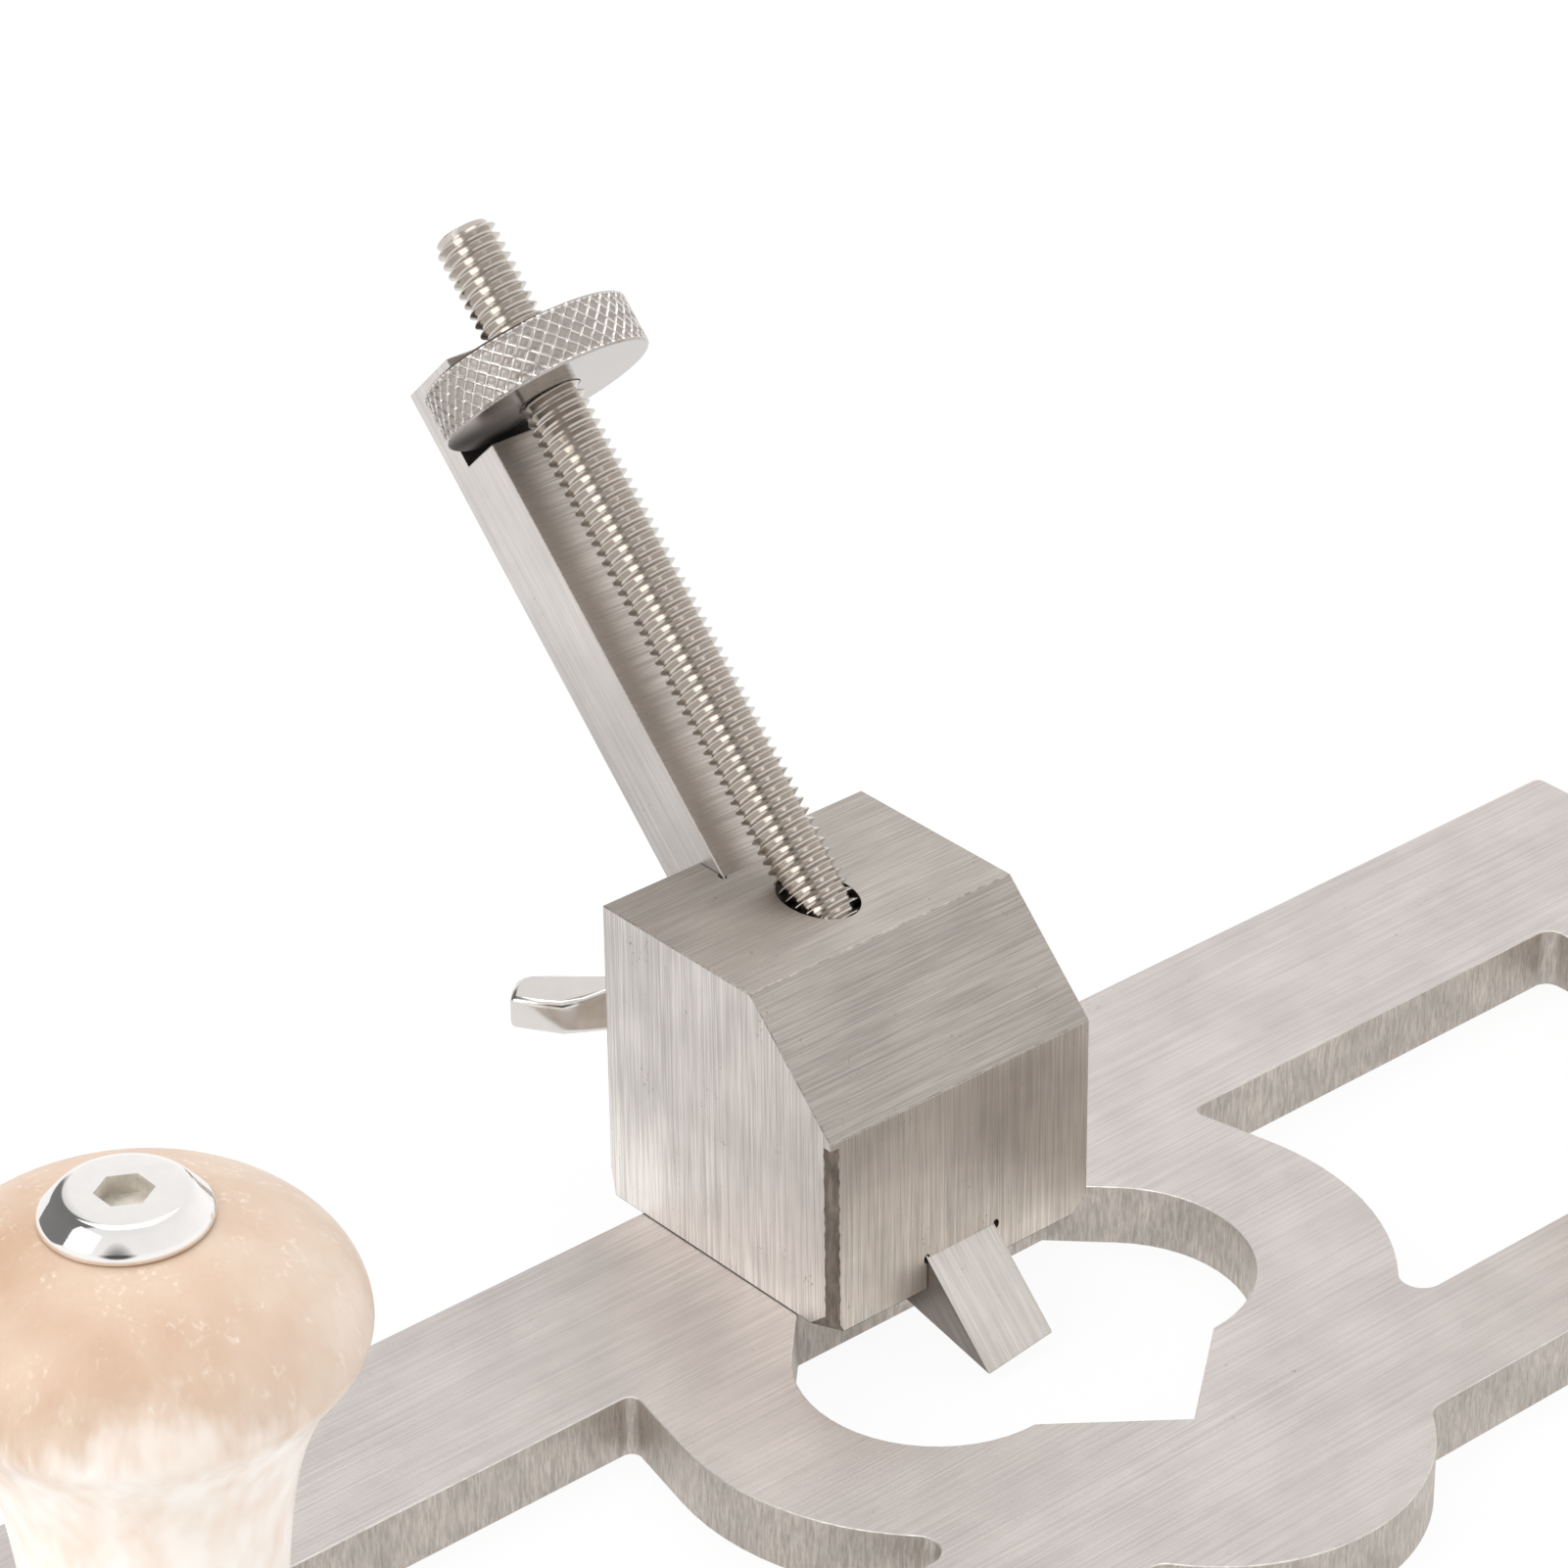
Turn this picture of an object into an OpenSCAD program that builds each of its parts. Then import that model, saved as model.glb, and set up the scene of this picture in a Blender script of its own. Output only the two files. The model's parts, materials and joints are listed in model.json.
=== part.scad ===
// Router plane with an inclined cutter.
// A flat steel plate carries a steel block at its back edge. A square cutter slides in a leaning slot
// in the block, a knurled wheel on a fixed threaded stud feeds it, and a wing screw at the back locks
// it. A turned wooden knob stands on each end of the plate.
// The origin is on the sole, in the middle of the back bar: +X to the right end, -Y to the front, +Z up.

/* [Sole plate] */
// Length of the plate over its two ends
plate_len = 203; // [190:1:220]
// Depth of the plate over its straight front and back edges
plate_depth = 67; // [64:0.5:72]
// Thickness of the plate
plate_t = 6; // [5:0.5:8]
// Width of the bar along the back edge, which carries the block
back_bar = 20.5; // [19:0.5:22]
// Width of the bar at each end, which carries a knob
end_bar = 20.5; // [20.1:0.2:24]
// Width of the bar along the front edge
front_bar = 12.25; // [11:0.25:14]
// Radius of the plate's outside corners
corner_r = 0.8; // [0.5:0.1:3]
// Radius of the corners at the window ends
window_r = 1.5; // [1:0.25:4]

/* [Throat and ring] */
// Distance from the plate's back edge to the centres of the throat's two round ends
throat_back = 34; // [33:0.5:35]
// Half the distance between those two centres
lobe_x = 10.5; // [10:0.5:12]
// Radius of the throat's round ends
lobe_r = 12.4; // [11.8:0.2:13]
// Angle of the straight sides that run from the round ends to the back wall
throat_side_angle = 45; // [40:1:50]
// Width of the ring around the throat
ring_w = 12.4; // [11.8:0.2:13]
// Lean of the ring's straight sides where they meet the back bar
ring_side_angle = 12; // [8:1:16]
// Radius in the sharp window corners at the back bar
tip_r = 1; // [0.5:0.25:1.5]
// Radius where the ring meets the front bar inside the windows
ring_fillet_r = 2; // [1.5:0.25:3]
// Radius of the rounded nose in front of the throat
nose_r = 19; // [18.5:0.5:20]
// Distance that the nose stands in front of the straight front edge
nose_out = 8.6; // [8:0.2:9.4]
// Radius of the fillets beside the nose
nose_fillet_r = 2; // [1:0.25:3]

/* [Tool block] */
// Width of the block across the plate
block_w = 30; // [28:0.5:34]
// Depth of the block, front to back
block_d = 30; // [29:0.5:32]
// Height of the block above the plate
block_h = 30; // [29:0.5:32]
// Size of the large chamfer on the block's top front edge
block_chamfer = 10.3; // [6:0.1:11]
// Distance that the block stands out behind the plate's back edge
block_over = 4.35; // [3.5:0.05:5]
// Width of the rough strip down the block's front left-hand edge
strip_w = 1.3; // [0.8:0.1:2]
// Distance between that strip's upper end and the large chamfer
strip_drop = 0.6; // [0.4:0.1:2]

/* [Cutter] */
// Lean of the cutter and the stud from upright
lean = 45; // [44:0.5:46]
// Width and thickness of the square cutter
cutter_s = 8; // [7:0.5:8.5]
// Length of the cutter before its foot is ground
cutter_len = 101.6; // [98:0.2:106]
// Distance from the block's top back edge to the cutter's front face, square to the cutter
cutter_face = 2.2; // [1.8:0.1:2.6]
// Running clearance on each side of the cutter in its slot
slot_clear = 0.06; // [0.04:0.01:0.1]
// Radius of the small relief holes in the slot's corners
slot_relief_r = 0.35; // [0.25:0.05:0.5]
// Clearance angle ground under the foot
foot_relief = 12; // [8:1:16]
// Skew of the hand ground cutting edge
edge_skew = 5; // [0:1:8]
// Depth of the notch that the wheel turns in
notch_depth = 5; // [4.8:0.1:5.6]
// Gap between the wheel and the lower wall of the notch
notch_play = 0.85; // [0.3:0.05:1]
// Gap between the wheel and the upper wall of the notch, which rests on it
notch_rest = 0.15; // [0.1:0.05:0.3]
// Length of the cutter's head above the notch
head_len = 2.7; // [2:0.1:4]

/* [Feed] */
// Outside diameter of the thread on the stud
stud_d = 6; // [5:0.5:6]
// Distance from the cutter's front face to the axis of the stud
stud_gap = 5.8; // [5.4:0.1:6.1]
// Length of the stud above the block's top, measured along its axis
stud_out = 66.9; // [62:0.1:68]
// Depth that the stud is screwed into the block
stud_in = 18; // [14:0.5:19]
// Radial clearance of a running thread
thread_clear = 0.05; // [0.03:0.01:0.08]
// Diameter of the knurled wheel
wheel_d = 20; // [18.6:0.2:20.4]
// Thickness of the knurled wheel
wheel_t = 5; // [4:0.25:6]
// Chamfer on the rims of the wheel
wheel_edge = 0.4; // [0.2:0.05:0.6]
// Distance from the block's top to the wheel, measured along the stud
wheel_up = 50.2; // [46:0.1:52]

/* [Wing screw] */
// Outside diameter of the screw's thread
clamp_d = 6; // [5:0.5:6]
// Height of the screw's axis above the plate
clamp_up = 13; // [12:0.5:14]
// Gap between the screw's tip and the back of the cutter
clamp_gap = 0.2; // [0.1:0.05:0.3]
// Distance from the block's back face to the hub
hub_off = 1.5; // [1:0.25:3]
// Length of the hub
hub_len = 8; // [7:0.5:9]
// Radius of the hub where it faces the block
hub_r = 5.5; // [5:0.25:6]
// Distance from the axis to the tip of a wing
wing_reach = 15.6; // [14:0.2:17]
// Distance from the block's back face to the end of the wings
wing_out = 15.3; // [13.5:0.2:17]
// Thickness of a wing at its tip
wing_t = 3.2; // [2.6:0.1:3.6]
// Thickness of a wing where it leaves the hub
wing_root_t = 5.2; // [4:0.1:5.5]

/* [Knobs] */
// Distance from the plate's back edge to the axes of the knobs, which stand in the middle of the end bars
knob_back = 34.85; // [34:0.05:37]
// Height of the knob, up to the seat of its bolt
knob_h = 51.6; // [46:0.2:56]
// Largest radius of the knob's head
knob_r = 17.7; // [16:0.1:19]
// Height of the knob's widest place above the plate
knob_wide = 42; // [39:0.5:43]
// Radius of the neck
neck_r = 9.8; // [9:0.1:10]
// Height of the narrowest place of the neck above the plate
neck_z = 14; // [12:0.5:18]
// Radius of the knob's foot on the plate
foot_r = 9.9; // [9:0.1:10]
// Diameter of the bolt through the knob
bolt_d = 6; // [5:0.5:6]
// Radial clearance of the bolt in the wood
bolt_clear = 0.25; // [0.1:0.05:0.4]
// Diameter of the bolt's head
bolt_head_d = 13.3; // [12:0.1:15]
// Height of the bolt's head
bolt_head_h = 2.4; // [2:0.1:3]
// Width across flats of the hexagon socket in the bolt's head
bolt_hex = 4; // [3:0.5:5]

/* [Block screws] */
// Distance from the middle to each screw that holds the block from below
screw_x = 9.5; // [8.5:0.5:11]
// Thread diameter of the block screws
screw_d = 5; // [4:0.5:5]
// Length of the block screws
screw_len = 16; // [14:0.5:20]
// Diameter of the countersunk head
screw_head_d = 9.2; // [8:0.2:10]
// Depth of the head below the sole
screw_sunk = 0.2; // [0.1:0.05:0.4]
// Width across flats of the hexagon socket in a block screw
screw_hex = 3; // [2:0.5:3]

/* [Hidden] */
$fn = 96;
eps = 0.5;

// Plate outline
back_y = back_bar / 2;
wall_y = -back_bar / 2;
front_y = back_y - plate_depth;
inner_front_y = front_y + front_bar;
end_x = plate_len / 2;
window_end_x = end_x - end_bar;
knob_x = end_x - end_bar / 2;
knob_y = back_y - knob_back;

// Throat
lobe_y = back_y - throat_back;
side_x = lobe_x + lobe_r * cos(throat_side_angle);
side_y = lobe_y + lobe_r * sin(throat_side_angle);
wall_x = side_x - (wall_y - side_y) * tan(throat_side_angle);

// Ring around the throat
ring_r = lobe_r + ring_w;
ring_x = lobe_x + ring_r * cos(ring_side_angle);
ring_y = lobe_y + ring_r * sin(ring_side_angle);
tip_x = ring_x + (tip_r - (wall_y - tip_r - ring_y) * sin(ring_side_angle)) / cos(ring_side_angle);
fillet_y = inner_front_y + ring_fillet_r;
fillet_x = lobe_x + sqrt(pow(ring_r + ring_fillet_r, 2) - pow(lobe_y - fillet_y, 2));

// Nose in front of the throat
nose_y = front_y - nose_out + nose_r;
nose_fillet_y = front_y - nose_fillet_r;
nose_fillet_x = sqrt(pow(nose_r + nose_fillet_r, 2) - pow(nose_y - nose_fillet_y, 2));

// Block and feed. Along the feed, a place is given by its distance up the cutter from the block's top
// back edge, and by its distance in front of that edge, square to the cutter.
block_back = back_y + block_over;
block_front = block_back - block_d;
block_top = plate_t + block_h;
strip_leg = strip_w / sqrt(2);
stud_n = cutter_face + stud_gap;
stud_mouth = -stud_n * tan(90 - lean);
stud_top = stud_mouth + stud_out;
stud_end = stud_mouth - stud_in;
wheel_low = stud_mouth + wheel_up;
notch_low = wheel_low - notch_play;
notch_high = wheel_low + wheel_t + notch_rest;
cutter_top = notch_high + head_len;
cutter_tip = cutter_top - cutter_len;
cutter_back = cutter_face - cutter_s;
mouth_r = stud_d / 2 + 0.15;
mouth_deep = 4;
drill_point = 1.5;

// Wing screw
clamp_z = plate_t + clamp_up;
clamp_r = clamp_d / 2;
clamp_flat_r = 1.2;
// Where the back of the cutter crosses the screw's axis
cutter_back_y = block_back + (clamp_z - block_top) * tan(lean) - cutter_back / cos(lean);
// The screw's cone touches along its top line, so it stops short of the cutter by the stated gap
cone_y = cutter_back_y + clamp_gap / cos(lean) + clamp_r * tan(lean);
hub_y = block_back + hub_off;
hub_top_r = hub_r - 1;
hub_edge = 0.6;

// Knobs and their bolts
bore_r = bolt_d / 2 + bolt_clear;
bolt_head_r = bolt_head_d / 2;
seat_r = bolt_head_r + 0.3;
bolt_rim_h = 0.7;
bolt_top_r = bolt_head_r - 1.6;
bolt_end_gap = 0.5;
socket_deep = 1.6;

// Block screws
screw_r = screw_d / 2;
screw_head_r = screw_head_d / 2;
screw_cone = screw_head_r - screw_r;
screw_fit = 0.05;
screw_socket = 1.8;

// Points on an arc about [x, y], from one angle to another
function arc(x, y, r, from, to, steps) =
    [for (i = [0:steps]) let (a = from + (to - from) * i / steps) [x + r * cos(a), y + r * sin(a)]];

// Puts its child on the feed: local Z runs up the cutter, and local -Y is in front of the block's top back edge
module on_feed() {
    translate([0, block_back, block_top])
        rotate([-lean, 0, 0])
            children();
}

// A six-sided hole, measured across its flats
module hex_hole(flats, h) {
    cylinder(d = flats / cos(30), h = h, $fn = 6);
}

// A rectangle with four round corners
module rounded_rect(x0, y0, x1, y1, r) {
    translate([x0 + r, y0]) square([x1 - x0 - 2 * r, y1 - y0]);
    translate([x0, y0 + r]) square([x1 - x0, y1 - y0 - 2 * r]);
    for (x = [x0 + r, x1 - r], y = [y0 + r, y1 - r])
        translate([x, y]) circle(r);
}

// The throat: two round ends, sides that run to a straight back wall, and a V to the front
module throat_outline() {
    polygon([[-wall_x, wall_y], [wall_x, wall_y], [side_x, side_y], [lobe_x, lobe_y - lobe_r],
             [0, inner_front_y], [-lobe_x, lobe_y - lobe_r], [-side_x, side_y]]);
    for (side = [-1, 1])
        translate([side * lobe_x, lobe_y]) circle(lobe_r);
}

// The right-hand window between the ring, the bars and the end
module window_outline() {
    tip = [tip_x, wall_y - tip_r];
    fillet = [fillet_x, fillet_y];
    on_ring = [lobe_x, lobe_y] + (fillet - [lobe_x, lobe_y]) * ring_r / (ring_r + ring_fillet_r);
    on_side = tip - tip_r * [cos(ring_side_angle), sin(ring_side_angle)];
    difference() {
        rounded_rect(0, inner_front_y, window_end_x, wall_y, window_r);
        translate([lobe_x, lobe_y]) circle(ring_r);
        // The ring's straight side, up to the fillet at the back bar
        polygon([[-eps, lobe_y], [lobe_x, lobe_y], [ring_x, ring_y], on_side, [tip_x, wall_y],
                 [tip_x, wall_y + eps], [-eps, wall_y + eps]]);
        // The sharp end between the ring and the front bar, up to its fillet
        polygon([[-eps, lobe_y + eps], [lobe_x, lobe_y + eps], [lobe_x, lobe_y], on_ring,
                 [fillet_x, inner_front_y], [fillet_x, inner_front_y - eps], [-eps, inner_front_y - eps]]);
    }
    translate(tip) circle(tip_r);
    translate(fillet) circle(ring_fillet_r);
}

// The plate's outside edge, with the nose and its fillets
module plate_outline() {
    // Angle at which a fillet leaves the nose, seen from the fillet's centre
    leave = 180 - atan2(nose_y - nose_fillet_y, nose_fillet_x);
    // Right-hand half, from the back edge round to the nose, without the nose's front point
    half = concat(arc(end_x - corner_r, back_y - corner_r, corner_r, 90, 0, 6),
                  arc(end_x - corner_r, front_y + corner_r, corner_r, 0, -90, 6),
                  arc(nose_fillet_x, nose_fillet_y, nose_fillet_r, 90, leave, 8),
                  [for (i = [1:19]) let (a = leave - 180 - (leave - 90) * i / 20)
                      [nose_r * cos(a), nose_y + nose_r * sin(a)]]);
    other_half = [for (i = [len(half) - 1:-1:0]) [-half[i][0], half[i][1]]];
    polygon(concat(half, [[0, nose_y - nose_r]], other_half));
}

// The space that the cutter slides in
module cutter_slot() {
    on_feed()
        translate([-cutter_s / 2 - slot_clear, -cutter_face - slot_clear, cutter_tip - eps])
            cube([cutter_s + 2 * slot_clear, cutter_s + 2 * slot_clear, cutter_len + 2 * eps]);
}

// Hole for one block screw, through the plate and into the block
module screw_hole() {
    r = screw_r + screw_fit;
    translate([0, 0, -eps]) cylinder(r = r, h = screw_len + screw_sunk + 2 * eps);
    translate([0, 0, -eps]) cylinder(r = screw_head_r + screw_fit, h = screw_sunk + eps);
    translate([0, 0, screw_sunk]) cylinder(r1 = screw_head_r + screw_fit, r2 = r, h = screw_cone);
}

module base_plate() {
    color("gainsboro")
        difference() {
            linear_extrude(plate_t)
                difference() {
                    plate_outline();
                    throat_outline();
                    for (side = [0, 1])
                        mirror([side, 0]) window_outline();
                }
            // The slot runs on into the top of the throat's back wall
            cutter_slot();
            for (side = [-1, 1]) {
                translate([side * knob_x, knob_y, -eps])
                    cylinder(r = bolt_d / 2 + thread_clear, h = plate_t + 2 * eps);
                translate([side * screw_x, 0, 0]) screw_hole();
            }
        }
}

// Cuts a corner at the origin off, as far as the given reach along X, Y and Z
module corner_cut(reach) {
    n = [1 / reach[0], 1 / reach[1], 1 / reach[2]];
    big = 12;
    rotate([0, acos(n[2] / norm(n)), atan2(n[1], n[0])])
        translate([-big / 2, -big / 2, 1 / norm(n) - big])
            cube(big);
}

module tool_block() {
    profile = [[block_back, plate_t], [block_back, block_top], [block_front + block_chamfer, block_top],
               [block_front, block_top - block_chamfer], [block_front, plate_t]];
    color("silver")
        difference() {
            translate([-block_w / 2, 0, 0])
                rotate([90, 0, 90])
                    linear_extrude(block_w) polygon(profile);
            // The rough strip, where the bar's old edge was left, and three filed corners
            translate([-block_w / 2, block_front, plate_t - eps])
                linear_extrude(block_h - block_chamfer - strip_drop + eps)
                    polygon([[-eps, -eps], [strip_leg + eps, -eps], [-eps, strip_leg + eps]]);
            translate([-block_w / 2, block_front, plate_t]) corner_cut([1.4, 3, 2.5]);
            translate([block_w / 2, block_front, plate_t]) corner_cut([-2, 1, 1.6]);
            translate([-block_w / 2, block_back, plate_t]) corner_cut([0.8, -0.6, 3]);
            cutter_slot();
            // Relief holes along the four corners of the slot
            on_feed()
                for (x = [-1, 1], y = [-cutter_face - slot_clear, -cutter_back + slot_clear])
                    translate([x * (cutter_s / 2 + slot_clear), y, cutter_tip])
                        cylinder(r = slot_relief_r, h = cutter_len);
            // Threaded hole for the stud, with an open mouth and a drill point
            on_feed()
                translate([0, -stud_n, stud_end]) {
                    cylinder(r = stud_d / 2 + thread_clear, h = stud_in + stud_n + eps);
                    translate([0, 0, -drill_point])
                        cylinder(r1 = 0, r2 = stud_d / 2 + thread_clear, h = drill_point);
                    translate([0, 0, stud_in - mouth_deep])
                        cylinder(r = mouth_r, h = 2 * mouth_deep + stud_n);
                }
            // Threaded hole for the wing screw, from the back face into the slot
            translate([0, block_back + eps, clamp_z])
                rotate([90, 0, 0])
                    cylinder(r = clamp_r + thread_clear, h = block_back + eps - cutter_back_y);
            for (side = [-1, 1])
                translate([side * screw_x, 0, 0]) screw_hole();
        }
}

module block_screw(side) {
    color("dimgray")
        translate([side * screw_x, 0, screw_sunk])
            difference() {
                union() {
                    cylinder(r1 = screw_head_r, r2 = screw_r, h = screw_cone);
                    cylinder(r = screw_r, h = screw_len);
                }
                translate([0, 0, -eps]) hex_hole(screw_hex, screw_socket + eps);
            }
}

module feed_stud() {
    edge = 0.4;
    r = stud_d / 2;
    color("lightgray")
        on_feed()
            translate([0, -stud_n, stud_end]) {
                cylinder(r1 = r - edge, r2 = r, h = edge);
                translate([0, 0, edge]) cylinder(r = r, h = stud_in + stud_out - 2 * edge);
                translate([0, 0, stud_in + stud_out - edge]) cylinder(r1 = r, r2 = r - edge, h = edge);
            }
}

module feed_wheel() {
    r = wheel_d / 2;
    color("darkgray")
        on_feed()
            translate([0, -stud_n, wheel_low])
                difference() {
                    rotate_extrude()
                        polygon([[0, 0], [r - wheel_edge, 0], [r, wheel_edge], [r, wheel_t - wheel_edge],
                                 [r - wheel_edge, wheel_t], [0, wheel_t]]);
                    translate([0, 0, -eps])
                        cylinder(r = stud_d / 2 + thread_clear, h = wheel_t + 2 * eps);
                }
}

module cutter() {
    big = 3 * cutter_s;
    color("lightsteelblue")
        on_feed()
            difference() {
                translate([-cutter_s / 2, -cutter_face, cutter_tip])
                    cube([cutter_s, cutter_s, cutter_len]);
                // Notch for the wheel
                translate([-big / 2, -cutter_face - eps, notch_low])
                    cube([big, notch_depth + eps, notch_high - notch_low]);
                // Ground underside of the foot, which makes the cutting edge with the front face
                translate([-cutter_s / 2, -cutter_face, cutter_tip])
                    rotate([0, -edge_skew, 0])
                        rotate([lean + foot_relief, 0, 0])
                            translate([-big, -big, -2 * big])
                                cube([3 * big, 3 * big, 2 * big]);
            }
}

// One wing, seen along the screw: its outline from the hub to the tip
module wing_outline() {
    tip_y = hub_y + (wing_out - hub_off) - 2.1;
    end_r = 1.3;
    polygon([[hub_top_r / 2, hub_y + 1.6], [wing_reach * 0.7, hub_y + 6.6], [wing_reach * 0.82, hub_y + 7.5],
             [wing_reach, tip_y], [wing_reach - 1.3, tip_y + 1.15], [wing_reach - 2.3, tip_y + 1.85],
             [wing_reach - 3.9, tip_y + 1.7], [wing_reach * 0.5, hub_y + 8.6],
             [hub_top_r / 2, hub_y + hub_len - 0.6]]);
    translate([wing_reach - 3, block_back + wing_out - end_r]) circle(end_r);
}

// The taper of a wing's thickness, seen from behind
module wing_taper() {
    polygon([[0, -wing_root_t / 2], [hub_r, -wing_root_t / 2], [wing_reach * 0.8, -wing_t / 2],
             [wing_reach + eps, -wing_t / 2], [wing_reach + eps, wing_t / 2], [wing_reach * 0.8, wing_t / 2],
             [hub_r, wing_root_t / 2], [0, wing_root_t / 2]]);
}

module wing_screw() {
    color("whitesmoke")
        translate([0, 0, clamp_z]) {
            // Shank with its cone point, and the hub, turned about the screw's axis
            rotate([90, 0, 0])
                rotate_extrude()
                    polygon([[0, -hub_y - hub_len], [hub_top_r - hub_edge, -hub_y - hub_len],
                             [hub_top_r, -hub_y - hub_len + hub_edge], [hub_r, -hub_y], [clamp_r, -hub_y],
                             [clamp_r, -cone_y], [clamp_flat_r, -cone_y + (clamp_r - clamp_flat_r) * tan(lean)],
                             [0, -cone_y + (clamp_r - clamp_flat_r) * tan(lean)]]);
            for (side = [0, 1])
                mirror([side, 0, 0])
                    intersection() {
                        translate([0, 0, -wing_root_t])
                            linear_extrude(2 * wing_root_t) wing_outline();
                        translate([0, block_back + 2 * wing_out, 0])
                            rotate([90, 0, 0])
                                linear_extrude(2 * wing_out) wing_taper();
                    }
        }
}

// Half of the knob's outline, with the bore for its bolt
function knob_profile() =
    let (dome_a = acos(seat_r / knob_r),
         dome_h = (knob_h - knob_wide) / sin(dome_a),
         turn_z = 39.6 / 42 * knob_wide,
         turn_r = knob_r - 1,
         base_h = 1.2)
    concat(
        [[bore_r, 0], [foot_r - 0.5, 0], [foot_r, 0.5], [foot_r, base_h]],
        // Hollow neck, from the foot up to its narrowest place
        [for (i = [1:6]) let (t = i / 6)
            [neck_r + (foot_r - neck_r) * pow(1 - t, 2.2), base_h + (neck_z - base_h) * t]],
        // The flare under the head, gentle at first and then steep
        [for (i = [1:16]) let (t = i / 16)
            [neck_r + (turn_r - neck_r) * (0.3 * t + 0.7 * pow(t, 4)), neck_z + (turn_z - neck_z) * t]],
        // Round shoulder, which goes on from the flare and is upright at the widest place
        [for (i = [1:6]) let (t = i / 6)
            [knob_r - (knob_r - turn_r) * pow(1 - t, 2), turn_z + (knob_wide - turn_z) * t]],
        // Domed top, down to the seat of the bolt
        [for (i = [1:12]) let (a = dome_a * i / 12) [knob_r * cos(a), knob_wide + dome_h * sin(a)]],
        [[bore_r, knob_h]]
    );

module knob(side) {
    color("burlywood")
        translate([side * knob_x, knob_y, plate_t])
            rotate_extrude() polygon(knob_profile());
}

module knob_bolt(side) {
    seat_z = plate_t + knob_h;
    color("white")
        translate([side * knob_x, knob_y, 0])
            difference() {
                rotate_extrude()
                    polygon([[0, bolt_end_gap], [bolt_d / 2, bolt_end_gap], [bolt_d / 2, seat_z],
                             [bolt_head_r, seat_z], [bolt_head_r, seat_z + bolt_rim_h],
                             [bolt_top_r, seat_z + bolt_head_h], [0, seat_z + bolt_head_h]]);
                translate([0, 0, seat_z + bolt_head_h - socket_deep]) hex_hole(bolt_hex, socket_deep + eps);
            }
}

base_plate();
tool_block();
block_screw(-1);  // block_screw_left
block_screw(1);  // block_screw_right
feed_stud();
feed_wheel();
cutter();
wing_screw();
knob(-1);  // knob_left
knob(1);  // knob_right
knob_bolt(-1);  // knob_bolt_left
knob_bolt(1);  // knob_bolt_right
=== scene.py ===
# %% [markdown]
# # A router plane
# The tool is a flat steel plate with a steel block on its back edge. A square cutter leans
# through the block, a knurled wheel on a threaded stud feeds it, and a wing screw behind the
# block locks it. A wooden knob stands on each end of the plate, held by a chromed bolt.
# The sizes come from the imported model, so this lesson is about surfaces: how ground, sawn,
# turned and polished steel differ, and what lacquered wood needs to look like wood.

# %% Load the frame
import json
import math
import bpy
import bmesh
from mathutils import Matrix, Vector


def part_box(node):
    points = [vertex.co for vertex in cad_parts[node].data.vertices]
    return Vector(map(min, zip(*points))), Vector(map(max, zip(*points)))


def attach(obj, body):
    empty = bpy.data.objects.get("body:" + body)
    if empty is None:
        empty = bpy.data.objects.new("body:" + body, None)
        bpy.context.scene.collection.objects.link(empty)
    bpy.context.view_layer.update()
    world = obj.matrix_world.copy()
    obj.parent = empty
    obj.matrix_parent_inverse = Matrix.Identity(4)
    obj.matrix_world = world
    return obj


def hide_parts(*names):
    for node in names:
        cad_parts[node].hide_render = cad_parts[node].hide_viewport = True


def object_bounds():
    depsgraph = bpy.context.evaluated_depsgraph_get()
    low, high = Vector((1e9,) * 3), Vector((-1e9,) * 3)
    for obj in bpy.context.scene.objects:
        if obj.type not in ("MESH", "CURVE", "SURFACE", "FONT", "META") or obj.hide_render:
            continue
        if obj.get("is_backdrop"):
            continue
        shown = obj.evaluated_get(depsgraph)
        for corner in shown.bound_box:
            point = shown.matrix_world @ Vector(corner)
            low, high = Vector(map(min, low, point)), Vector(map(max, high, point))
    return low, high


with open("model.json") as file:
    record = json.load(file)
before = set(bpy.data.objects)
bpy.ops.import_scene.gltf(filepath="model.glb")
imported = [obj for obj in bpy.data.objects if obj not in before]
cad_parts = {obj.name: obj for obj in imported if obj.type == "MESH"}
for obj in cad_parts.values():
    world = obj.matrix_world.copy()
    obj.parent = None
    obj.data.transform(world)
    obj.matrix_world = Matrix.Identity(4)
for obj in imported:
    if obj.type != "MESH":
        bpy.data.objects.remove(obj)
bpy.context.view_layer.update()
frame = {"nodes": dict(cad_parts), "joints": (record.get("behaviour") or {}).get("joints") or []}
MM = 0.001

# %% [markdown]
# ## The photographer's place
# A long lens stands to the left of the tool and above it. The picture crops the tool on three
# sides, so the camera isn't aimed at the tool's middle. Its place, turn and lens are given as
# numbers.

# %% Camera
AZIMUTH, ELEVATION, ROLL = (math.radians(d) for d in (-40.394, 29.847, -0.788))
LENS_MM, SENSOR_MM = 133.34, 36
# The tool block's rear face, its top, and the plate's top, in metres
BLOCK_BACK, BLOCK_TOP, PLATE_TOP = 0.0146, 0.036, 0.006
# The foot of the block's rear face, measured from the lens to the camera's right, up and back
FOOT_FROM_LENS_MM = (-4.058, -31.577, -528.222)


def camera_turn():
    """The camera's right, up and back directions as the columns of a turn."""
    right = Vector((math.cos(AZIMUTH), math.sin(AZIMUTH), 0))
    back = Vector((math.sin(AZIMUTH) * math.cos(ELEVATION),
                   -math.cos(AZIMUTH) * math.cos(ELEVATION), math.sin(ELEVATION)))
    up = back.cross(right)
    c, s = math.cos(ROLL), math.sin(ROLL)
    return Matrix((c * right + s * up, c * up - s * right, back)).transposed()


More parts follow.
